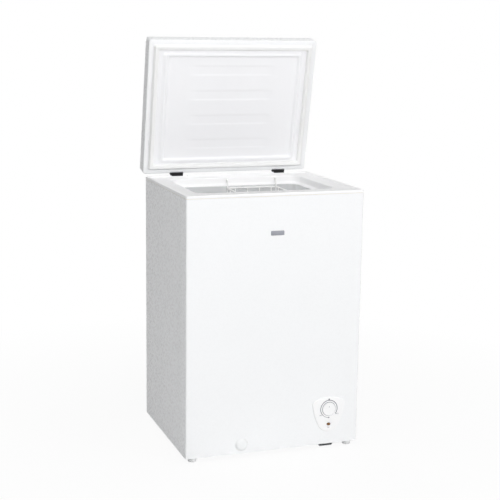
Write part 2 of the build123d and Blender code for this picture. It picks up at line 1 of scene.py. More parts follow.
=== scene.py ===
import bmesh
import bpy
import json
import math
from mathutils import Matrix, Vector

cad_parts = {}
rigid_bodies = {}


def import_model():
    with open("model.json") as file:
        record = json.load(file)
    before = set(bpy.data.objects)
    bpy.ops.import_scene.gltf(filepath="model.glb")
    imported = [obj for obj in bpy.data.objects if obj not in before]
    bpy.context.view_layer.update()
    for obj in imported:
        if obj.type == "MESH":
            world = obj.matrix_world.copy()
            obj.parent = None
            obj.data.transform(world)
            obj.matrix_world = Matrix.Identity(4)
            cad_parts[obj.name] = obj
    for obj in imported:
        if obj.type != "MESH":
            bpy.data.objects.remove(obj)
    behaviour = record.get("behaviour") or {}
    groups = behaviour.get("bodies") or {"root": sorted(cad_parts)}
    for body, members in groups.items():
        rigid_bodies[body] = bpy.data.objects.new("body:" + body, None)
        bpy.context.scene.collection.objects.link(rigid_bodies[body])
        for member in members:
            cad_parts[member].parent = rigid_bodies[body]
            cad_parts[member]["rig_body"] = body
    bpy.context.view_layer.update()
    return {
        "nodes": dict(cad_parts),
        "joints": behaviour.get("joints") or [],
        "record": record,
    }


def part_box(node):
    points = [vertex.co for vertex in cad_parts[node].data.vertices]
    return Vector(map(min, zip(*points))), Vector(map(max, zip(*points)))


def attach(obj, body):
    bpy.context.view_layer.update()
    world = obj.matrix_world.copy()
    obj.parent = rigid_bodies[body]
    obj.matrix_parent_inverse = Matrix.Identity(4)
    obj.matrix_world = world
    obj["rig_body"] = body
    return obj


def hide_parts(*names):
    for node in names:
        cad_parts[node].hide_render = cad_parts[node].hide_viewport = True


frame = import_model()
nodes = frame["nodes"]
slotOfNode = {part["node"]: part["material_slot"] for part in frame["record"]["subparts"]}
bodyOfNode = {name: node["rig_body"] for name, node in nodes.items()}
mm = 0.001
print("frame loaded:", len(nodes), "nodes")

# The freezer's own planes, read from the frame
wrapLow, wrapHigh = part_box("outer_cabinet")
left, right = wrapLow.x, wrapHigh.x
front, back = wrapLow.y, wrapHigh.y
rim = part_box("top_collar")[1].z
joints = {joint["name"]: joint for joint in frame["joints"]}
knobX, _, knobZ = joints["knob_turn"]["pos_m"]
lidJoint = joints["lid_hinge"]
hinge = Vector(lidJoint["pos_m"])
pinGap = 13.5 * mm  # from the lid's back edge to the hinge pins
lidBack = hinge.y - pinGap
openTurn = Matrix.Rotation(-math.radians(lidJoint["range_deg"][0]), 4, Vector(lidJoint["axis"]))
opened = Matrix.Translation(hinge) @ openTurn @ Matrix.Translation(-hinge)  # shut place to open place
outwards = (0, -1, 0)  # off the front
gauge = 0.8 * mm  # sheet of the tub and the lid
weld = 0.001 * mm  # points nearer than this become one


def linear(hexColour):
    # sRGB hex to the linear values that the shaders take
    channels = [int(hexColour[i:i + 2], 16) / 255 for i in (1, 3, 5)]
    return [c / 12.92 if c <= 0.04045 else ((c + 0.055) / 1.055) ** 2.4 for c in channels] + [1.0]


def addNode(tree, kind, settings=None, values=None, links=None):
    node = tree.nodes.new(kind)
    for name, value in (settings or {}).items():
        setattr(node, name, value)
    for socket, value in (values or {}).items():
        node.inputs[socket].default_value = value
    for socket, source in (links or {}).items():
        tree.links.new(source, node.inputs[socket])
    return node


def newMaterial(name):
    material = bpy.data.materials.new(name)
    material.use_nodes = True
    tree = material.node_tree
    shader = tree.nodes["Principled BSDF"]
    place = addNode(tree, "ShaderNodeTexCoord").outputs["Object"]
    return material, tree, shader, place


def mixTones(tree, shader, tones, pattern):
    # the pattern carries the colour from the first tone to the second
    mix = addNode(tree, "ShaderNodeMix", {"data_type": "RGBA"},
                  {6: linear(tones[0]), 7: linear(tones[1])}, {0: pattern})
    tree.links.new(mix.outputs[2], shader.inputs["Base Color"])


def spreadGloss(tree, shader, roughness, pattern):
    spread = addNode(tree, "ShaderNodeMapRange", values={"To Min": roughness[0], "To Max": roughness[1]},
                     links={"Value": pattern})
    tree.links.new(spread.outputs[0], shader.inputs["Roughness"])


def addRelief(tree, shader, strength, depthMm, height):
    bump = addNode(tree, "ShaderNodeBump", values={"Strength": strength, "Distance": depthMm * mm},
                   links={"Height": height})
    tree.links.new(bump.outputs[0], shader.inputs["Normal"])


def noise(tree, place, sizeMm, detail):
    return addNode(tree, "ShaderNodeTexNoise", values={"Scale": 1 / (sizeMm * mm), "Detail": detail},
                   links={"Vector": place}).outputs["Fac"]


def surface(name, look):
    # colour drifts between two close tones, the gloss drifts with it, and a fine relief breaks the highlights
    material, tree, shader, place = newMaterial(name)
    drift = noise(tree, place, look["driftMm"], detail=3.0)
    mixTones(tree, shader, look["tones"], drift)
    spreadGloss(tree, shader, look["roughness"], drift)
    relief = noise(tree, place, look["reliefMm"], look.get("detail", 2.0))
    addRelief(tree, shader, look["reliefStrength"], look["reliefDepthMm"], relief)
    shader.inputs["Metallic"].default_value = look.get("metallic", 0.0)
    if "ior" in look:
        shader.inputs["IOR"].default_value = look["ior"]
    shader.inputs["Coat Weight"].default_value = look.get("coat", 0.0)
    shader.inputs["Coat Roughness"].default_value = 0.1
    shader.inputs["Subsurface Weight"].default_value = look.get("scatter", 0.0)
    shader.inputs["Subsurface Scale"].default_value = look.get("scatterMm", 1.0) * mm
    shader.inputs["Subsurface Radius"].default_value = (1.0, 1.0, 1.0)  # milky, without the default's red bleed
    shader.inputs["Specular IOR Level"].default_value = look.get("specular", 0.5)
    return material


def galvanisedSteel(look):
    # hot-dip zinc: flat crystals a few millimetres across, each with its own grey and gloss
    material, tree, shader, place = newMaterial("galvanisedSteel")
    spangle = addNode(tree, "ShaderNodeTexVoronoi", values={"Scale": 1 / (look["spangleMm"] * mm)},
                      links={"Vector": place})
    crystal = addNode(tree, "ShaderNodeSeparateColor", links={"Color": spangle.outputs["Color"]})
    mixTones(tree, shader, look["tones"], crystal.outputs["Red"])
    spreadGloss(tree, shader, look["roughness"], crystal.outputs["Green"])
    shader.inputs["Metallic"].default_value = 1.0
    return material


def stuccoAluminium(look):
    # lacquered tub sheet: very shallow stucco emboss over a faint vertical rolling grain, milky under the lacquer
    material, tree, shader, place = newMaterial("stuccoAluminium")
    stretched = addNode(tree, "ShaderNodeMapping", values={"Scale": (1.0, 1.0, look["grainStretch"])},
                        links={"Vector": place})
    grain = noise(tree, stretched.outputs[0], look["grainMm"], detail=4.0)
    mixTones(tree, shader, look["tones"], grain)
    spreadGloss(tree, shader, look["roughness"], grain)
    stucco = addNode(tree, "ShaderNodeTexVoronoi", {"feature": "SMOOTH_F1"},
                     {"Scale": 1 / (look["stuccoMm"] * mm)}, {"Vector": place})
    addRelief(tree, shader, look["stuccoStrength"], look["stuccoDepthMm"], stucco.outputs["Distance"])
    shader.inputs["Metallic"].default_value = look["metallic"]
    return material


def amberPolycarbonate(look):
    # tinted lens: deep amber where it is thick, with fine prisms moulded on its back
    material, tree, shader, place = newMaterial("amberPolycarbonate")
    period = math.tau / 20  # of a wave texture at a scale of 1
    prisms = addNode(tree, "ShaderNodeTexWave", {"bands_direction": "X"},
                     {"Scale": period / (look["prismMm"] * mm)}, {"Vector": place})
    mixTones(tree, shader, look["tones"], prisms.outputs["Fac"])
    shader.inputs["Roughness"].default_value = look["roughness"]
    shader.inputs["IOR"].default_value = look["ior"]
    shader.inputs["Transmission Weight"].default_value = look["clear"]
    return material


enamelLook = {  # baked polyester enamel on sheet steel: even gloss with orange peel a few millimetres wide
    "tones": ("#F5F6F7", "#F6F7F8"), "driftMm": 6, "roughness": (0.26, 0.29), "reliefMm": 3.5,
    "reliefStrength": 0.01, "reliefDepthMm": 0.05, "specular": 0.1,
}
collarLook = {  # injection-moulded polystyrene frame: fine even satin
    "tones": ("#F6F6F6", "#F7F7F8"), "driftMm": 4, "roughness": (0.36, 0.40), "reliefMm": 0.8,
    "reliefStrength": 0.12, "reliefDepthMm": 0.02, "ior": 1.59,
}
lidLinerLook = {  # vacuum-formed polystyrene sheet: soft gloss, faint waves left by forming
    "tones": ("#F5F5F7", "#F6F6F8"), "driftMm": 6, "roughness": (0.38, 0.44), "reliefMm": 26,
    "reliefStrength": 0.06, "reliefDepthMm": 0.25, "ior": 1.59,
}
gasketLook = {  # extruded vinyl seal: waxy, faintly see-through at its edges
    "tones": ("#EFEFEF", "#F4F4F3"), "driftMm": 25, "roughness": (0.42, 0.52), "reliefMm": 1.2,
    "reliefStrength": 0.10, "reliefDepthMm": 0.03, "scatter": 0.08, "scatterMm": 1.5,
}
controlLook = {  # moulded ABS: clean satin
    "tones": ("#F7F7F8", "#FAFAFA"), "driftMm": 20, "roughness": (0.28, 0.36), "reliefMm": 0.6,
    "reliefStrength": 0.10, "reliefDepthMm": 0.015, "ior": 1.54,
}
drainLook = {  # polyethylene: waxy and slightly soft-edged
    "tones": ("#EEF0F1", "#F4F5F5"), "driftMm": 15, "roughness": (0.36, 0.46), "reliefMm": 0.7,
    "reliefStrength": 0.10, "reliefDepthMm": 0.02, "ior": 1.51, "scatter": 0.06, "scatterMm": 1.0,
}
wireLook = {  # polyethylene-dipped steel wire: smooth with slight runs
    "tones": ("#F1F1EF", "#F6F6F5"), "driftMm": 20, "roughness": (0.26, 0.36), "reliefMm": 2.5,
    "reliefStrength": 0.15, "reliefDepthMm": 0.05, "ior": 1.51,
}
hingeLook = {  # black powder coat: even fine pebble
    "tones": ("#131314", "#1C1C1E"), "driftMm": 12, "roughness": (0.45, 0.58), "reliefMm": 0.5,
    "reliefStrength": 0.30, "reliefDepthMm": 0.05,
}
zincLook = {  # bright zinc plate: pale grey metal, a little cloudy
    "tones": ("#A9ABAE", "#BFC1C4"), "driftMm": 8, "roughness": (0.26, 0.42), "reliefMm": 1.0,
    "reliefStrength": 0.08, "reliefDepthMm": 0.03, "metallic": 1.0,
}
darkPlasticLook = {  # filled polypropylene: dull charcoal with moulded grain
    "tones": ("#2A2B2D", "#37383A"), "driftMm": 10, "roughness": (0.50, 0.64), "reliefMm": 0.7,
    "reliefStrength": 0.25, "reliefDepthMm": 0.06, "ior": 1.49,
}
rubberLook = {  # moulded nitrile rubber: matt, dusty black
    "tones": ("#1A1A1A", "#262626"), "driftMm": 9, "roughness": (0.70, 0.82), "reliefMm": 0.5,
    "reliefStrength": 0.25, "reliefDepthMm": 0.05,
}
compressorLook = {  # stoved black enamel on pressed steel: thick, glossy, slightly lumpy
    "tones": ("#0E0E0F", "#161617"), "driftMm": 30, "roughness": (0.22, 0.34), "reliefMm": 5,
    "reliefStrength": 0.12, "reliefDepthMm": 0.1, "coat": 0.3,
}
copperLook = {  # drawn copper tube: bright with brown oxide clouds
    "tones": ("#B4714F", "#8A5236"), "driftMm": 22, "roughness": (0.24, 0.46), "reliefMm": 1.0,
    "reliefStrength": 0.06, "reliefDepthMm": 0.02, "metallic": 1.0,
}
coilSteelLook = {  # coated condenser tube: dull black, slightly pebbled
    "tones": ("#2B2C2E", "#353638"), "driftMm": 20, "roughness": (0.40, 0.52), "reliefMm": 1.0,
    "reliefStrength": 0.12, "reliefDepthMm": 0.03,
}
coilAluminiumLook = {  # mill-finish aluminium tube: pale, softly bright
    "tones": ("#B9BBBD", "#CACBCD"), "driftMm": 20, "roughness": (0.28, 0.42), "reliefMm": 1.0,
    "reliefStrength": 0.06, "reliefDepthMm": 0.02, "metallic": 1.0,
}
foamLook = {  # rigid polyurethane foam: cream, with cells about a millimetre wide
    "tones": ("#D8C98B", "#E6DBA8"), "driftMm": 18, "roughness": (0.80, 0.92), "reliefMm": 1.2,
    "reliefStrength": 0.5, "reliefDepthMm": 0.4, "detail": 5.0,
}
footLook = {  # moulded polypropylene in pale grey: dull, faintly grained
    "tones": ("#E4E5E5", "#EBECEC"), "driftMm": 8, "roughness": (0.48, 0.60), "reliefMm": 0.7,
    "reliefStrength": 0.25, "reliefDepthMm": 0.05, "ior": 1.49,
}
inkAndShadeLook = {  # screen-printed grey ink: flat satin; the same grey also paints the shade ring round the dial
    "tones": ("#7A7A84", "#83838C"), "driftMm": 6, "roughness": (0.45, 0.55), "reliefMm": 0.4,
    "reliefStrength": 0.05, "reliefDepthMm": 0.01,
}
plateLook = {  # satin anodised aluminium plate, left bare: soft grey sheen
    "tones": ("#8C8E95", "#989AA1"), "driftMm": 5, "roughness": (0.42, 0.52), "reliefMm": 0.5,
    "reliefStrength": 0.08, "reliefDepthMm": 0.02, "metallic": 0.4,
}
tubLook = {
    "tones": ("#F0F1F3", "#F7F8F8"), "roughness": (0.13, 0.18), "grainMm": 1.5, "grainStretch": 0.04,
    "stuccoMm": 7, "stuccoStrength": 0.008, "stuccoDepthMm": 0.25, "metallic": 0.42,
}
spangleLook = {"tones": ("#9DA0A3", "#B7B9BC"), "roughness": (0.34, 0.5), "spangleMm": 9}
amberLook = {"tones": ("#5E3400", "#8A5600"), "prismMm": 2.375, "roughness": 0.14, "ior": 1.58, "clear": 0.15}
materials = {
    "enamel": surface("bakedEnamel", enamelLook),
    "collar_plastic": surface("mouldedPolystyrene", collarLook),
    "lid_liner_plastic": surface("vacuumFormedPolystyrene", lidLinerLook),
    "liner_aluminium": stuccoAluminium(tubLook),
    "galvanised": galvanisedSteel(spangleLook),
    "foam": surface("rigidPolyurethaneFoam", foamLook),
    "coil_aluminium": surface("millAluminium", coilAluminiumLook),
    "coil_steel": surface("coatedSteelTube", coilSteelLook),
    "copper": surface("drawnCopper", copperLook),
    "compressor_black": surface("stovedBlackEnamel", compressorLook),
    "rubber_black": surface("nitrileRubber", rubberLook),
    "gasket_white": surface("extrudedVinyl", gasketLook),
    "hinge_black": surface("blackPowderCoat", hingeLook),
    "zinc": surface("brightZincPlate", zincLook),
    "control_white": surface("mouldedAbs", controlLook),
    "amber_lens": amberPolycarbonate(amberLook),
    "drain_plastic": surface("polyethylene", drainLook),
    "dark_plastic": surface("filledPolypropylene", darkPlasticLook),
    "wire_coating": surface("dippedWireCoating", wireLook),
}
inkAndPaintedShade = surface("screenInkAndPaintedShade", inkAndShadeLook)
plateMetal = surface("anodisedPlate", plateLook)
footPlastic = surface("greyPolypropylene", footLook)
for name, node in nodes.items():
    node.data.materials.clear()
    node.data.materials.append(materials[slotOfNode[name]])
print("materials made for", len(materials), "slots")


def shadeBySharpness(bm, sharpDegrees):
    for face in bm.faces:
        face.smooth = True
    for edge in bm.edges:
        edge.smooth = len(edge.link_faces) == 2 and edge.calc_face_angle(0.0) < math.radians(sharpDegrees)


def meshFrom(bm, name):
    mesh = bpy.data.meshes.new(name)
    bm.to_mesh(mesh)
    bm.free()
    return mesh


def addObject(name, data):
    thing = bpy.data.objects.new(name, data)
    bpy.context.scene.collection.objects.link(thing)
    return thing


def makePiece(bm, name, slot, body, replaced=(), swing=None, material=None, sharpDegrees=35):
    bmesh.ops.remove_doubles(bm, verts=bm.verts, dist=weld)
    if swing is not None:
        bmesh.ops.transform(bm, matrix=swing, verts=bm.verts)
    bmesh.ops.recalc_face_normals(bm, faces=bm.faces)
    shadeBySharpness(bm, sharpDegrees)
    mesh = meshFrom(bm, name)
    mesh.materials.append(material or materials[slot])
    piece = addObject(name, mesh)
    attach(piece, body)
    if replaced:
        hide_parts(*replaced)
    return piece


def inset(bounds, run, runY=None):
    x0, x1, y0, y1 = bounds
    runY = run if runY is None else runY
    return x0 + run, x1 - run, y0 + runY, y1 - runY


def ease(bm, geom, offset, segments, affect="EDGES", clamp=False):
    bmesh.ops.bevel(bm, geom=geom, offset=offset, offset_type="OFFSET", segments=segments, profile=0.5,
                    affect=affect, material=-1, clamp_overlap=clamp)


def addRing(bm, bounds, z, radius, segments=8):
    # a rounded rectangle of edges, from four corners
    x0, x1, y0, y1 = bounds
    corners = [bm.verts.new((x, y, z)) for x, y in ((x0, y0), (x1, y0), (x1, y1), (x0, y1))]
    face = bm.faces.new(corners)
    known = set(bm.edges) - set(face.edges)
    ease(bm, corners, radius, segments, "VERTICES")
    edges = [edge for edge in bm.edges if edge not in known]
    faces = {face for edge in edges for face in edge.link_faces}
    bmesh.ops.delete(bm, geom=list(faces), context="FACES_ONLY")
    return edges


def carryRing(bm, ring, old, new):
    # extrudes a ring and carries each corner's arc to its new bounds, height and radius
    made = bmesh.ops.extrude_edge_only(bm, edges=ring)["geom"]
    verts = {item for item in made if isinstance(item, bmesh.types.BMVert)}
    (x0, x1, y0, y1), _, radius = old
    (u0, u1, v0, v1), height, newRadius = new
    for vert in verts:
        atRight, atBack = vert.co.x > (x0 + x1) / 2, vert.co.y > (y0 + y1) / 2
        spokeX = (vert.co.x - (x1 - radius if atRight else x0 + radius)) / radius
        spokeY = (vert.co.y - (y1 - radius if atBack else y0 + radius)) / radius
        vert.co = ((u1 - newRadius if atRight else u0 + newRadius) + spokeX * newRadius,
                   (v1 - newRadius if atBack else v0 + newRadius) + spokeY * newRadius, height)
    return [item for item in made if isinstance(item, bmesh.types.BMEdge) and set(item.verts) <= verts]


def stackRings(bm, levels, segments=8):
    # rounded rectangles of (bounds, height, radius), each joined to the next
    rings = [addRing(bm, *levels[0], segments)]
    for old, new in zip(levels, levels[1:]):
        rings.append(carryRing(bm, rings[-1], old, new))
    return rings


def roundOver(start, end, steps=4):
    # (run, rise) points of a quarter round from start to end, flat first
    points = []
    for step in range(steps + 1):
        angle = math.pi / 2 * step / steps
        points.append((start[0] + (end[0] - start[0]) * math.sin(angle),
                       start[1] + (end[1] - start[1]) * (1 - math.cos(angle))))
    return points


def smoothStep(value):
    value = min(max(value, 0.0), 1.0)
    return value * value * (3 - 2 * value)


def merged(nodeName):
    # a copy of the node's mesh with shared vertices and whole flats
    bm = bmesh.new()
    bm.from_mesh(nodes[nodeName].data)
    bmesh.ops.remove_doubles(bm, verts=bm.verts, dist=2 * weld)
    bmesh.ops.dissolve_limit(bm, angle_limit=math.radians(0.5), verts=bm.verts, edges=bm.edges)
    return bm


def cut(bm, place, normal, faces=None):
    faces = bm.faces[:] if faces is None else faces
    geom = {item for face in faces for item in (face, *face.edges, *face.verts)}
    bmesh.ops.bisect_plane(bm, geom=list(geom), plane_co=place, plane_no=normal)


def refine(nodeName, name, bevelMm=0.0, sharpDegrees=30, segments=2, bm=None):
    # the node's own shape with its hard edges eased
    bm = bm or merged(nodeName)
    if bevelMm:
        sharp = math.radians(sharpDegrees)
        hard = [e for e in bm.edges if len(e.link_faces) == 2 and e.calc_face_angle(0.0) > sharp]
        ease(bm, hard, bevelMm * mm, segments, clamp=True)
    return makePiece(bm, name, slotOfNode[nodeName], bodyOfNode[nodeName], [nodeName], sharpDegrees=sharpDegrees)


def turn(bm, profile, centre, axis, steps=64):
    # spins (radius, height) points about an axis through centre
    axis = Vector(axis)
    side = Vector((1, 0, 0)) if abs(axis.x) < 0.5 else Vector((0, 1, 0))
    verts = [bm.verts.new(Vector(centre) + side * radius + axis * height) for radius, height in profile]
    edges = [bm.edges.new(pair) for pair in zip(verts, verts[1:])]
    bmesh.ops.spin(bm, geom=verts + edges, cent=centre, axis=axis, angle=math.tau, steps=steps, use_merge=True)
    bmesh.ops.remove_doubles(bm, verts=bm.verts, dist=weld)


def inFrom(radius, profile):
    # (run in from the radius, height) in millimetres to (radius, height)
    return [(radius - run * mm, height * mm) for run, height in profile]


# Wrap, back and lower metalwork keep the frame's shape, with eased edges
refine("outer_cabinet", "cabinetWrap", sharpDegrees=40)
refine("rear_panel", "backSheet")
refine("rear_cover", "louvredCover", bevelMm=0.3)
tray = {"lip": 8 * mm, "fade": 8 * mm, "drop": 7 * mm}


def pressedTray(c):
    # the rib shows as a short lip at the front and runs out to flat behind it
    bm = merged("compressor_tray")
    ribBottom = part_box("compressor_tray")[0].z
    for run in (c["lip"], c["lip"] + c["fade"]):
        cut(bm, (0, front + run, 0), (0, 1, 0))
    for vert in bm.verts:
        if vert.co.y > front + c["lip"] + c["fade"] / 2 and vert.co.z < ribBottom + c["drop"] / 2:
            vert.co.z += c["drop"]
    return refine("compressor_tray", "tray", bm=bm)


pressedTray(tray)
leaf = {"blackTop": rim + 10.2 * mm, "flange": lidBack - 0.2 * mm, "edgeMm": 0.5}


def hingeLeaf(side, c):
    # powder coat stops below the lid, and the plate above it and the lip on the lid's flange are bare plated steel
    bm = merged(f"lid_hinge_arm_{side}")
    cut(bm, (0, 0, c["blackTop"]), (0, 0, 1))
    piece = refine(f"lid_hinge_arm_{side}", f"hingeLeaf.{side}", c["edgeMm"], bm=bm)
    piece.data.materials.append(materials["zinc"])
    for face in piece.data.polygons:
        shut = opened.inverted() @ face.center
        if shut.y < c["flange"] or face.center.z > c["blackTop"]:
            face.material_index = 1
    return piece


for side in ("left", "right"):
    hingeLeaf(side, leaf)
    refine(f"hinge_bracket_{side}", f"hingeBracket.{side}", bevelMm=0.4)
print("sheet metal done")

# Frame round the mouth
collar = {
    "outer": (left, right, front, back), "outerRadius": 5 * mm, "leastRadius": 1 * mm, "skirt": 5 * mm,
    "edge": 2 * mm, "wall": 2.5 * mm,
    "seam": 0.5 * mm, "seamEase": 0.6 * mm,  # fine line where the skirt meets the steel wrap
    "side": 56 * mm, "front": 76 * mm, "back": 60 * mm, "mouthRadius": 39 * mm, "lip": 4 * mm,
    "draft": 2 * mm, "depth": 20 * mm, "ledge": 7 * mm, "ledgeDrop": 4 * mm, "tail": 2.5 * mm,
    "toLedge": [(-0.4, -3.0), (0.3, -0.8), (1.6, 0.5)],  # run and drop from the wall's foot, in millimetres
    "offLedge": [(-1.2, -0.7), (-0.2, 0.2)],  # run and drop from the ledge's end, in millimetres
    "bead": 4.2 * mm, "beadWidth": 7.5 * mm,  # low raised bead round the outside, clear of the seal
    "beadShares": (0, 0.2, 0.4, 0.6, 0.8, 1),
    "notch": 1.5 * mm, "notchGap": 1 * mm, "notchRamp": 1 * mm,  # the bead drops to this height at each hinge
}
mouth = (left + collar["side"], right - collar["side"], front + collar["front"], back - collar["back"])


def notchBead(bm, c):
    behind = back - c["beadWidth"] - 2 * c["bead"]
    for side in ("left", "right"):
        low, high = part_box(f"hinge_bracket_{side}")
        start, end, ramp = low.x - c["notchGap"], high.x + c["notchGap"], c["notchRamp"]
        for x in (start - ramp, start, end, end + ramp):
            cut(bm, (x, 0, 0), (1, 0, 0), [f for f in bm.faces if f.calc_center_median().y > behind])
        for vert in bm.verts:
            if start - ramp / 2 < vert.co.x < end + ramp / 2 and vert.co.y > behind:
                vert.co.z = min(vert.co.z, rim + c["notch"])


def topFrame(c):
    wall, lip, seat, depth = c["wall"], c["lip"], c["draft"], c["depth"]
    foot, low, end = seat + c["ledge"], depth + c["ledgeDrop"], depth + c["ledgeDrop"] + c["tail"]
    bead, width = c["bead"], c["beadWidth"]
    hem, hemEase = c["skirt"] - c["seam"], c["seamEase"]
    outer = [(wall, wall), (wall, hem), (hemEase, hem), (0, hem - hemEase)]
    outer += [(run, drop - bead) for run, drop in reversed(roundOver((c["edge"], 0), (0, c["edge"])))]
    outer += [(width + share * bead, (smoothStep(share) - 1) * bead) for share in c["beadShares"]]
    inner = roundOver((-lip, 0), (0, lip), steps=5)
    inner += [(seat + run * mm, depth + drop * mm) for run, drop in c["toLedge"]]
    inner += [(foot + run * mm, low + drop * mm) for run, drop in c["offLedge"]]
    inner += [(foot, end), (foot - wall, end), (foot - wall, low), (seat - wall, depth + wall), (-wall, wall)]
    levels = [(inset(c["outer"], run), rim - drop, max(c["outerRadius"] - run, c["leastRadius"]))
              for run, drop in outer]
    levels += [(inset(mouth, run), rim - drop, c["mouthRadius"] - run) for run, drop in inner]
    bm = bmesh.new()
    stackRings(bm, [*levels, levels[0]], segments=10)  # the last ring meets the first
    notchBead(bm, c)
    return makePiece(bm, "topFrame", "collar_plastic", "cabinet", ["top_collar"])


topFrame(collar)
print("top frame done")

# Tub of bright sheet, its floor raised over the compressor
linerLow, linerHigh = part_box("inner_liner")
tub = {
    "bounds": inset(mouth, collar["draft"] + collar["ledge"]), "radius": 30 * mm, "flange": 8 * mm,
    "top": linerHigh.z, "floor": linerLow.z + gauge, "stepX": 28 * mm, "stepZ": 294 * mm, "floorRound": 7 * mm,
}


def tubLiner(c):
    bm = bmesh.new()
    bounds, top, shelfZ, radius = c["bounds"], c["top"], c["stepZ"], c["radius"]
    brim = inset(bounds, -c["flange"])
    levels = [(brim, top, radius + c["flange"]), (bounds, top, radius), (bounds, shelfZ, radius)]
    step = stackRings(bm, levels, segments=12)[-1]
    shelf = bmesh.ops.contextual_create(bm, geom=step)["faces"][0]
    cut(bm, (c["stepX"], 0, 0), (1, 0, 0), [shelf])
    flats = [f for f in bm.faces if abs(f.normal.z) > 0.9 and f.calc_center_median().z < shelfZ + 1 * mm]
    low = min(flats, key=lambda f: f.calc_center_median().x)
    sunk = bmesh.ops.extrude_discrete_faces(bm, faces=[low])["faces"][0]
    bmesh.ops.translate(bm, vec=(0, 0, c["floor"] - shelfZ), verts=sunk.verts)
    bm.normal_update()
    ease(bm, list(sunk.edges), c["floorRound"], segments=4)
    piece = makePiece(bm, "tubLiner", "liner_aluminium", "cabinet", ["inner_liner"], sharpDegrees=50)
    wall = piece.modifiers.new("sheet", "SOLIDIFY")
    wall.thickness = gauge
    wall.offset = -1.0
    return piece


tubLiner(tub)
print("tub done")

# Lid, built shut and then swung open
lidLow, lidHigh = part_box("lid_outer_shell")
lidDepth = 429.5 * mm  # from front to back
lid = {
    "bounds": (lidLow.x, lidHigh.x, lidBack - lidDepth, lidBack), "base": rim + 10 * mm, "thickness": 50 * mm,
    "corner": 9 * mm, "leastRadius": 2 * mm, "topRound": 10 * mm, "lowRound": 3 * mm, "flange": 13 * mm,
    "ease": 0.35 * mm,  # a full round bulges past the flats of the CAD, so it starts a little inside
}


def lidPan(c):
    base, top, fold = c["base"], c["base"] + c["thickness"] - c["ease"], 4 * gauge
    low, high = c["lowRound"], c["topRound"]
    pan = inset(c["bounds"], c["ease"])
    bm = bmesh.new()
    profile = [(high, top - gauge), (fold, top - fold), (gauge, top - high), (gauge, base + fold),
               (fold, base + gauge), (c["flange"], base + gauge), (c["flange"], base)]
    profile += [(run, base + rise) for run, rise in roundOver((low, 0), (0, low))]
    profile += [(run, top - drop) for run, drop in reversed(roundOver((high, 0), (0, high), steps=8))]
    levels = [(inset(pan, run), z, max(c["corner"] - run, c["leastRadius"])) for run, z in profile]
    rings = stackRings(bm, levels, segments=10)
    bmesh.ops.contextual_create(bm, geom=rings[0])
    bmesh.ops.contextual_create(bm, geom=rings[-1])
    return makePiece(bm, "lidPan", "enamel", "lid", ["lid_outer_shell"], opened)


lidPan(lid)

lidLiner = {
    "edge": 14 * mm, "edgeRadius": 6 * mm, "edgeEase": 0.5 * mm, "wall": 2.6 * mm, "tuck": 5 * mm, "lip": 1.2 * mm,
    "ridgeX": 44.5 * mm, "ridgeY": 33.8 * mm, "ridgeRadius": 19 * mm, "leastRadius": 3 * mm,
    "ridge": [  # run inwards from the ridge's foot, height of the crest, in millimetres
        (-1.6, 0.0), (-0.3, 0.15), (0.9, 0.7), (2.4, 2.1), (6.2, 6.2), (7.6, 7.7), (8.8, 8.5), (10.2, 8.8),
        (13.2, 8.8), (14.5, 8.5), (15.5, 7.8), (17.5, 5.7), (18.5, 4.9), (19.7, 4.4), (21.2, 4.3)],
    "field": 4.3 * mm, "fieldMargin": 3 * mm, "gridX": 64, "gridY": 150,
    "bands": 4, "bandPitch": 79 * mm, "bandStart": 78 * mm, "bandLength": 300 * mm, "bandWidth": 34 * mm,
    "bandDepth": 0.8 * mm, "bandEase": 6 * mm, "bandFade": 42 * mm,
}


def pressBands(verts, start, c):
    # shallow bands across the field, soft along their sides and fading out at their ends
    for vert in verts:
        for band in range(c["bands"]):
            centre = start + c["bandStart"] + band * c["bandPitch"] + c["bandWidth"] / 2
            across = (c["bandWidth"] / 2 - abs(vert.co.y - centre)) / c["bandEase"]
            along = (c["bandLength"] / 2 - abs(vert.co.x)) / c["bandFade"]
            vert.co.z += c["bandDepth"] * smoothStep(across) * smoothStep(along)


def lidLinerPanel(c):
    base, bounds, wall, side = lid["base"], lid["bounds"], c["wall"], c["edge"]
    bm = bmesh.new()
    tucked, lip = side - c["tuck"], wall - c["lip"]  # the lip lies behind the pan's flange
    edge = [(side + wall, wall), (tucked, wall), (tucked, lip), (side, lip), (side, c["edgeEase"]),
            (side + c["edgeEase"], 0.0)]
    levels = [(inset(bounds, run), base + rise, c["edgeRadius"]) for run, rise in edge]
    for run, height in c["ridge"]:
        outline = inset(bounds, c["ridgeX"] + run * mm, c["ridgeY"] + run * mm)
        levels.append((outline, base - height * mm, max(c["ridgeRadius"] - run * mm, c["leastRadius"])))
    rings = stackRings(bm, levels)
    bmesh.ops.contextual_create(bm, geom=rings[0])
    fieldRun = c["ridge"][-1][0] * mm + c["fieldMargin"]
    x0, x1, y0, y1 = inset(bounds, c["ridgeX"] + fieldRun, c["ridgeY"] + fieldRun)
    middle = Matrix.Translation(((x0 + x1) / 2, (y0 + y1) / 2, base - c["field"]))
    size = Matrix.Diagonal(((x1 - x0) / 2, (y1 - y0) / 2, 1, 1))
    made = bmesh.ops.create_grid(bm, x_segments=c["gridX"], y_segments=c["gridY"], size=1.0, matrix=middle @ size)
    field = set(made["verts"])
    border = [e for e in bm.edges if e.is_boundary and e.verts[0] in field and e.verts[1] in field]
    # flat sheet between the ridge and the grid
    bmesh.ops.triangle_fill(bm, use_beauty=True, use_dissolve=False, edges=rings[-1] + border)
    pressBands(field, bounds[2], c)
    return makePiece(bm, "lidLiner", "lid_liner_plastic", "lid", ["lid_inner_panel"], opened, sharpDegrees=60)


lidLinerPanel(lidLiner)

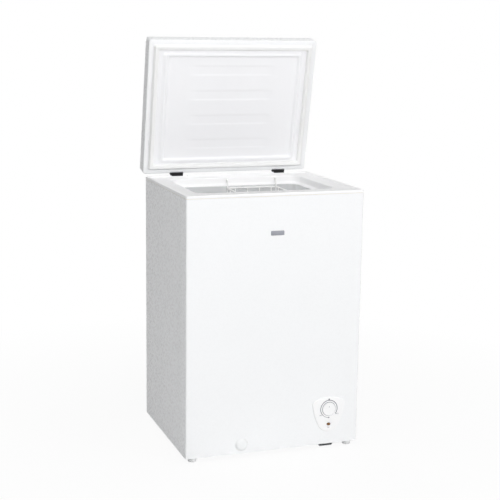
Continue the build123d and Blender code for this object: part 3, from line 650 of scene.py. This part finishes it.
gasket = {
    "radius": 6 * mm, "leastRadius": 2 * mm, "inset": 16 * mm,
    "profile": [  # run inwards and depth below the lid, in millimetres, once round the seal
        (0.0, 0.0), (0.0, 1.5), (0.7, 3.0), (1.6, 6.4), (2.4, 8.4), (3.4, 9.3), (4.8, 9.6), (11.6, 9.6), (13.0, 9.2),
        (14.0, 7.8), (14.8, 4.6), (15.4, 2.4), (16.0, 1.6), (16.0, 0.0)],
}


def doorGasket(c):
    bm = bmesh.new()
    levels = []
    for run, depth in c["profile"]:
        outline = inset(lid["bounds"], c["inset"] + run * mm)
        levels.append((outline, lid["base"] - depth * mm, max(c["radius"] - run * mm, c["leastRadius"])))
    stackRings(bm, [*levels, levels[0]], segments=5)
    return makePiece(bm, "doorGasket", "gasket_white", "lid", ["lid_gasket"], opened)


doorGasket(gasket)
print("lid done")

# Basket of bent and welded wire
basket = {
    "x": (-27 * mm, 141 * mm), "wallGap": 6 * mm, "top": rim - 33 * mm, "depth": 190 * mm, "frameWire": 2.0 * mm,
    "meshWire": 1.75 * mm, "bend": 9 * mm, "long": (0.0, 41 * mm, 81 * mm, 121 * mm), "cross": 6, "reach": 3.4 * mm,
    # the four hooks: in from each end, start over the floor, reach past the wall's gap, bend, top and rest
    "hookInset": (1 * mm, 4 * mm), "hookFoot": 40 * mm, "hookReach": 3 * mm, "hookBend": 3 * mm,
    "crown": rim - 6 * mm, "rest": rim - 18.2 * mm,
}


def addWire(bm, points, bend, closed=False):
    verts = [bm.verts.new(point) for point in points]
    pairs = list(zip(verts, verts[1:]))
    if closed:
        pairs.append((verts[-1], verts[0]))
    for pair in pairs:
        bm.edges.new(pair)
    ease(bm, verts if closed else verts[1:-1], bend, segments=6, affect="VERTICES")


def wireTubes(bm, name, radius):
    # turns bent edge paths into round wire
    wires = addObject(name, meshFrom(bm, name))
    bpy.ops.object.select_all(action="DESELECT")
    wires.select_set(True)
    bpy.context.view_layer.objects.active = wires
    bpy.ops.object.convert(target="CURVE")
    wires.data.bevel_depth = radius
    wires.data.bevel_resolution = 3
    wires.data.use_fill_caps = True
    bpy.ops.object.convert(target="MESH")
    tubes = bmesh.new()
    tubes.from_mesh(wires.data)
    bpy.data.objects.remove(wires)
    return tubes


def wireBasket(c):
    x0, x1 = c["x"]
    y0, y1 = tub["bounds"][2] + c["wallGap"], tub["bounds"][3] - c["wallGap"]
    top, low, reach, bend = c["top"], c["top"] - c["depth"], c["reach"], c["bend"]
    middle, under = top - c["depth"] / 2, low - 2 * c["meshWire"]
    corners = ((x0, y0), (x1, y0), (x1, y1), (x0, y1))
    hoop = bmesh.new()
    addWire(hoop, [(x, y, top) for x, y in corners], bend, closed=True)
    mesh = bmesh.new()
    addWire(mesh, [(x, y, middle) for x, y in corners], bend, closed=True)
    start, end = y0 + reach, y1 - reach
    for x in c["long"]:
        addWire(mesh, [(x, start, top), (x, start, low), (x, end, low), (x, end, top)], bend)
    start, end = x0 + reach, x1 - reach
    for index in range(c["cross"]):
        y = y0 + (y1 - y0) * (index + 0.5) / c["cross"]
        addWire(mesh, [(start, y, top), (start, y, under), (end, y, under), (end, y, top)], bend)
    crown, rest, hookReach = c["crown"], c["rest"], c["wallGap"] + c["hookReach"]
    for x in (x0 + c["hookInset"][0], x1 - c["hookInset"][1]):
        for wall, side in ((y0, -1), (y1, 1)):
            inner, outer = wall - side * reach, wall + side * hookReach
            hook = [(x, inner, low + c["hookFoot"]), (x, inner, crown), (x, outer, crown), (x, outer, rest)]
            addWire(mesh, hook, c["hookBend"])
    tubes = wireTubes(hoop, "hoopPath", c["frameWire"])
    tubes.from_mesh(meshFrom(wireTubes(mesh, "meshPath", c["meshWire"]), "thinWires"))
    return makePiece(tubes, "wireBasket", "wire_coating", "basket", ["wire_basket"], sharpDegrees=50)


wireBasket(basket)
print("basket done")

# Controls on the front
refine("control_bezel", "controlBezel", bevelMm=1.0, sharpDegrees=25, segments=3)
bezelProud = 4 * mm
bezelFace = front - bezelProud
knob = {  # a low dial, nearly flush: undercut foot, fluted rim, sunk face
    "radius": 20.5 * mm, "gap": 0.4 * mm, "face": 1.6 * mm, "shaftEase": 0.4 * mm,
    "grooves": 60, "grooveDepth": 0.2 * mm, "fluted": (0.45 * mm, 1.6 * mm),
    "profile": [  # run in from the radius and height off the bezel, in millimetres, from the foot to the sunk face
        (1.2, 0.0), (1.0, 0.3), (0.2, 0.5), (0.0, 0.8), (0.0, 1.4), (0.3, 1.9), (0.8, 2.15), (1.4, 2.2), (2.0, 2.1),
        (2.5, 1.9), (3.0, 1.75), (3.6, 1.65)],
}


def thermostatKnob(c):
    bm = bmesh.new()
    base = bezelFace - c["gap"]
    profile = [(0, 0), *inFrom(c["radius"], c["profile"]), (0, c["face"])]
    turn(bm, profile, (knobX, base, knobZ), outwards, steps=c["grooves"] * 2)
    for vert in bm.verts:  # fine grip flutes round the rim
        offset = vert.co - Vector((knobX, vert.co.y, knobZ))
        index = round(math.atan2(offset.z, offset.x) / (math.tau / (2 * c["grooves"])))
        if c["fluted"][0] < base - vert.co.y < c["fluted"][1] and index % 2:
            vert.co -= offset.normalized() * c["grooveDepth"]
    return makePiece(bm, "thermostatKnob", "control_white", "knob", ["thermostat_knob"], sharpDegrees=40)


def dialShaft(c):
    # the spindle ends inside the low dial
    low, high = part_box("thermostat_shaft")
    radius, length = (high.x - low.x) / 2, high.y - bezelFace + c["gap"] + c["face"] / 2
    neck, last = radius - c["shaftEase"], length - c["shaftEase"]
    bm = bmesh.new()
    profile = [(0, 0), (neck, 0), (radius, c["shaftEase"]), (radius, last), (neck, length), (0, length)]
    turn(bm, profile, (knobX, high.y, knobZ), outwards, steps=32)
    return makePiece(bm, "dialShaft", slotOfNode["thermostat_shaft"], "knob", ["thermostat_shaft"])


thermostatKnob(knob)
dialShaft(knob)

pointer = {"size": (1.2 * mm, 0.5 * mm, 4 * mm), "up": 7 * mm, "proud": 0.1 * mm, "ease": 0.2 * mm}


def knobPointer(c):
    bm = bmesh.new()
    bmesh.ops.create_cube(bm, size=1.0)
    bmesh.ops.scale(bm, vec=c["size"], verts=bm.verts)
    face = bezelFace - knob["gap"] - knob["face"] - c["proud"]
    bmesh.ops.translate(bm, vec=(knobX, face, knobZ + c["up"]), verts=bm.verts)
    ease(bm, bm.edges[:], c["ease"], segments=2)
    return makePiece(bm, "knobPointer", "control_white", "knob", material=inkAndPaintedShade)


knobPointer(pointer)

scale = {
    "radius": 26.9 * mm, "width": 2.3 * mm, "startDegrees": -37, "sweepDegrees": 305, "steps": 96, "ink": 0.08 * mm,
    "thinFrom": 0.79, "thinTo": 0.9, "thin": 0.45, "tick": (4.6 * mm, 5.0 * mm), "dot": 2.2 * mm,
    "seat": (20.3 * mm, 21.9 * mm),  # grey ring round the dial: painted shade where the gap under the dial's rim lies in shadow
    "wordSize": 4.6 * mm,
    "words": [("MIN", -26.4 * mm, -19.0 * mm), ("MAX", 27.0 * mm, -17.8 * mm), ("ON", 0.0, -58.4 * mm)],
}
upright = Matrix.Rotation(math.pi / 2, 4, "X")  # flat shapes stand up to face the front


def narrowBand(verts, centre, c):
    # the band keeps its width over the top and thins towards the foot
    for vert in verts:
        offset = vert.co - centre
        angle = (math.degrees(math.atan2(offset.z, offset.x)) - c["startDegrees"]) % 360
        share = min(angle / c["sweepDegrees"], 1.0) if angle < c["sweepDegrees"] + 10 else 0.0  # 10 degrees of slack
        width = c["width"] * (1.0 - c["thin"] * smoothStep((share - c["thinFrom"]) / (c["thinTo"] - c["thinFrom"])))
        side = 1 if offset.length > c["radius"] else -1
        vert.co = centre + offset.normalized() * (c["radius"] + side * width / 2)


def printedScaleAndShadeRing(c):
    # a band of ink from the cold end, over the top, down to a dot at the foot, and a grey ring round the dial's seat
    # that is painted shade for the gap under the dial
    bm = bmesh.new()
    centre = Vector((knobX, bezelFace - c["ink"], knobZ))
    start = math.radians(c["startDegrees"])
    out = Vector((math.cos(start), 0, math.sin(start)))
    verts = [bm.verts.new(centre + out * (c["radius"] + side * c["width"] / 2)) for side in (-1, 1)]
    bmesh.ops.spin(bm, geom=[*verts, bm.edges.new(verts)], cent=centre, axis=outwards,
                   angle=math.radians(c["sweepDegrees"]), steps=c["steps"])
    narrowBand(bm.verts, centre, c)
    # the seat ring is painted shade: grey where the gap under the dial's rim would lie in shadow
    seat = [bm.verts.new(centre + Vector((radius, 0, 0))) for radius in c["seat"]]
    bmesh.ops.spin(bm, geom=[*seat, bm.edges.new(seat)], cent=centre, axis=outwards, angle=math.tau,
                   steps=c["steps"], use_merge=True)
    dot = Matrix.Translation(centre + Vector((0, 0, -c["radius"]))) @ upright
    bmesh.ops.create_circle(bm, cap_ends=True, segments=24, radius=c["dot"], matrix=dot)
    tick = Matrix.Translation(centre + Vector((0, 0, c["radius"] + c["tick"][1] / 2))) @ upright
    size = Matrix.Diagonal((c["tick"][0] / 2, c["tick"][1] / 2, 1, 1))
    bmesh.ops.create_grid(bm, x_segments=1, y_segments=1, size=1.0, matrix=tick @ size)
    bmesh.ops.solidify(bm, geom=bm.faces[:], thickness=c["ink"] / 2)
    return makePiece(bm, "printedScaleAndShadeRing", "control_white", "cabinet", material=inkAndPaintedShade)


def printedWords(c):
    # plain words at the ends of the scale and under the lamp
    bm = bmesh.new()
    for text, x, z in c["words"]:
        curve = bpy.data.curves.new("word", "FONT")
        curve.body, curve.size, curve.extrude = text, c["wordSize"], c["ink"] / 2
        curve.align_x, curve.align_y = "CENTER", "CENTER"
        word = addObject("word", curve)
        depsgraph = bpy.context.evaluated_depsgraph_get()
        mesh = bpy.data.meshes.new_from_object(word.evaluated_get(depsgraph))
        mesh.transform(Matrix.Translation((knobX + x, bezelFace - c["ink"] / 2, knobZ + z)) @ upright)
        bm.from_mesh(mesh)
        bpy.data.objects.remove(word)
        bpy.data.meshes.remove(mesh)
    return makePiece(bm, "printedWords", "control_white", "cabinet", material=inkAndPaintedShade)


printedScaleAndShadeRing(scale)
printedWords(scale)

lens = {
    "z": 76.6 * mm, "squash": 0.75,  # height over width of the part that shows
    "profile": [  # radius and height off the front, in millimetres, from the lamp's tail to the lens's crown
        (0, -20), (4.4, -20), (4.4, 0), (6, 0.2), (6, 3.8), (5.6, 4.9), (4.4, 5.7), (2.4, 6.2), (0, 6.4)],
}


def amberLamp(c):
    bm = bmesh.new()
    profile = [(radius * mm, height * mm) for radius, height in c["profile"]]
    turn(bm, profile, (knobX, front, c["z"]), outwards, steps=48)
    middle = Matrix.Translation((0, 0, c["z"]))
    squash = middle @ Matrix.Diagonal((1, 1, c["squash"], 1)) @ middle.inverted()
    bmesh.ops.transform(bm, matrix=squash, verts=[v for v in bm.verts if v.co.y < front + 0.1 * mm])
    return makePiece(bm, "amberLamp", "amber_lens", "cabinet", ["indicator_lamp"])


amberLamp(lens)
print("controls done")

# Drain cap low on the front
drain = {
    "x": -100.5 * mm, "z": 41 * mm, "radius": 17 * mm, "crown": 5.0 * mm,
    "stem": [(0, -23), (4.5, -23), (5.3, -22), (5.3, -3)],  # radius and height off the front, in millimetres
    "profile": [  # run in from the radius and height, in millimetres, from the back of the flange to the crown
        (0.6, -3.0), (0.0, -2.4), (0.0, 0.1), (-1.6, 0.15), (-1.8, 0.4), (-1.3, 0.7), (-0.3, 1.2), (0.7, 2.3),
        (1.8, 3.4), (3.4, 4.3), (5.6, 4.85), (8.0, 5.0)],
}


def drainCap(c):
    bm = bmesh.new()
    profile = [(radius * mm, height * mm) for radius, height in c["stem"]]
    profile += [*inFrom(c["radius"], c["profile"]), (0, c["crown"])]
    turn(bm, profile, (c["x"], front, c["z"]), outwards)
    return makePiece(bm, "drainCap", "drain_plastic", "drain_cap", ["drain_cap"])


drainCap(drain)

# Feet, turned with a pad and a waist
feet = {
    "x": 247 * mm, "frontY": front + 19 * mm, "backY": back - 19 * mm, "height": 14 * mm, "radius": 14 * mm,
    "profile": [  # run in from the radius and height, in millimetres
        (3.2, 0), (2.2, 0.5), (1.6, 1.6), (1.2, 5), (2.4, 5.8), (2.4, 7.4), (0.6, 8.2), (0, 13), (0, 14)],
}


def turnedFeet(c):
    bm = bmesh.new()
    profile = [(0, 0), *inFrom(c["radius"], c["profile"]), (0, c["height"])]
    for x in (-c["x"], c["x"]):
        for y in (c["frontY"], c["backY"]):
            turn(bm, profile, (x, y, 0), (0, 0, 1), steps=40)
    return makePiece(bm, "turnedFeet", "dark_plastic", "cabinet", ["feet"], material=footPlastic)


turnedFeet(feet)

# Bare plate high on the front
badge = {
    "x": 2.5 * mm, "z": 671.5 * mm, "width": 41 * mm, "height": 13.5 * mm, "thickness": 1.2 * mm, "corner": 2 * mm,
    "ease": 0.35 * mm,
}


def bareBadge(c):
    bm = bmesh.new()
    bmesh.ops.create_cube(bm, size=1.0)
    bmesh.ops.scale(bm, vec=(c["width"], c["thickness"], c["height"]), verts=bm.verts)
    bmesh.ops.translate(bm, vec=(c["x"], front - c["thickness"] / 2, c["z"]), verts=bm.verts)
    through = [e for e in bm.edges if abs(e.verts[0].co.y - e.verts[1].co.y) > c["thickness"] / 2]
    ease(bm, through, c["corner"], segments=5)
    face = front - c["thickness"]
    outer = [e for e in bm.edges if all(v.co.y < face + 0.01 * mm for v in e.verts)]
    ease(bm, outer, c["ease"], segments=2)
    return makePiece(bm, "bareBadge", "enamel", "cabinet", material=plateMetal)


bareBadge(badge)
print("front trim done")

# Camera at the photograph's angle
cameraSetup = {
    "azimuth": -19.764, "elevation": 10.992, "roll": 0.772, "distance": 3.5789, "lens": 83.775, "sensor": 36.0,
    "target": Vector((-0.0008, (front + back) / 2, rim - 0.2045)),
}


def photoCamera(c):
    azimuth, elevation, roll = (math.radians(c[name]) for name in ("azimuth", "elevation", "roll"))
    flat = math.cos(elevation)
    away = Vector((math.sin(azimuth) * flat, -math.cos(azimuth) * flat, math.sin(elevation)))
    across = Vector((0, 0, 1)).cross(away).normalized()
    upward = away.cross(across)
    x = across * math.cos(roll) + upward * math.sin(roll)
    y = upward * math.cos(roll) - across * math.sin(roll)
    data = bpy.data.cameras.new("photoCamera")
    data.lens = c["lens"]
    data.sensor_width = c["sensor"]
    camera = addObject("photoCamera", data)
    facing = Matrix((x, y, away)).transposed().to_4x4()
    camera.matrix_world = Matrix.Translation(c["target"] + away * c["distance"]) @ facing
    bpy.context.scene.camera = camera


photoCamera(cameraSetup)

# Soft studio: a far key and a fill from the left, a lamp from the right, a weak top light and a small one behind
studio = {
    "surround": 0.06, "floorSize": 14.0, "floorTone": "#F4F4F4", "floorRoughness": 0.9,
    # the shadow stays near the object, and the floor ends in white
    "floorGlow": (0.92, 1.0), "glowReach": (0.45, 1.5),
    "lamps": [
        {"name": "keyLight", "place": (-0.9, -4.8, 2.8), "aim": (0.0, 0.0, 0.7), "size": 2.6, "power": 106.0},
        {"name": "leftLight", "place": (-2.6, -1.6, 2.2), "aim": (0.0, 0.0, 0.7), "size": 1.6, "power": 23.0},
        {"name": "rightLight", "place": (3.4, -4.0, 1.4), "aim": (0.0, 0.0, 0.8), "size": 2.4, "power": 78.0},
        {"name": "topLight", "place": (0.3, -0.6, 3.4), "aim": (0.0, 0.0, 0.4), "size": 2.0, "power": 28.0},
        # hidden behind the lid, so that the back reads as white
        {"name": "backLight", "place": (0.0, 4.6, 1.6), "aim": (0.0, 0.0, 0.8), "size": 0.9, "power": 66.0},
    ],
}


def whiteForView(tree):
    # camera, mirror and clear rays see plain white, and the light itself stays soft
    path = addNode(tree, "ShaderNodeLightPath")
    seen = addNode(tree, "ShaderNodeMath", {"operation": "ADD"},
                   links={0: path.outputs["Is Camera Ray"], 1: path.outputs["Is Glossy Ray"]})
    return addNode(tree, "ShaderNodeMath", {"operation": "ADD", "use_clamp": True},
                   links={0: seen.outputs[0], 1: path.outputs["Is Transmission Ray"]}).outputs[0]


def paleSurround(c):
    world = bpy.data.worlds.new("studioSurround")
    world.use_nodes = True
    bpy.context.scene.world = world
    tree = world.node_tree
    strength = addNode(tree, "ShaderNodeMapRange", values={"To Min": c["surround"], "To Max": 1.0},
                       links={"Value": whiteForView(tree)})
    background = tree.nodes["Background"]
    background.inputs["Color"].default_value = (1, 1, 1, 1)
    tree.links.new(strength.outputs[0], background.inputs["Strength"])


def paleFloor(c):
    bm = bmesh.new()
    bmesh.ops.create_grid(bm, x_segments=1, y_segments=1, size=c["floorSize"] / 2)
    mesh = meshFrom(bm, "paleFloor")
    floor = addObject("paleFloor", mesh)
    material, tree, shader, place = newMaterial("paleFloor")
    shader.inputs["Base Color"].default_value = linear(c["floorTone"])
    shader.inputs["Roughness"].default_value = c["floorRoughness"]
    shader.inputs["Specular IOR Level"].default_value = 0.0
    away = addNode(tree, "ShaderNodeVectorMath", {"operation": "LENGTH"}, links={0: place})
    reach = addNode(tree, "ShaderNodeMapRange", links={"Value": away.outputs["Value"]},
                    values={"From Min": c["glowReach"][0], "From Max": c["glowReach"][1],
                            "To Min": c["floorGlow"][0], "To Max": c["floorGlow"][1]})
    glow = addNode(tree, "ShaderNodeMath", {"operation": "MULTIPLY"},
                   links={0: whiteForView(tree), 1: reach.outputs[0]})
    white = addNode(tree, "ShaderNodeEmission")
    mixed = addNode(tree, "ShaderNodeMixShader",
                    links={0: glow.outputs[0], 1: shader.outputs[0], 2: white.outputs[0]})
    tree.links.new(mixed.outputs[0], tree.nodes["Material Output"].inputs["Surface"])
    mesh.materials.append(material)


def hangLamps(lamps):
    for lamp in lamps:
        data = bpy.data.lights.new(lamp["name"], "AREA")
        data.shape = "DISK"
        data.size = lamp["size"]
        data.energy = lamp["power"]
        light = addObject(lamp["name"], data)
        light.location = lamp["place"]
        towards = Vector(lamp["aim"]) - Vector(lamp["place"])
        light.rotation_euler = towards.to_track_quat("-Z", "Y").to_euler()


paleSurround(studio)
paleFloor(studio)
hangLamps(studio["lamps"])
bpy.context.scene.view_settings.view_transform = "Standard"
print("camera and studio done")
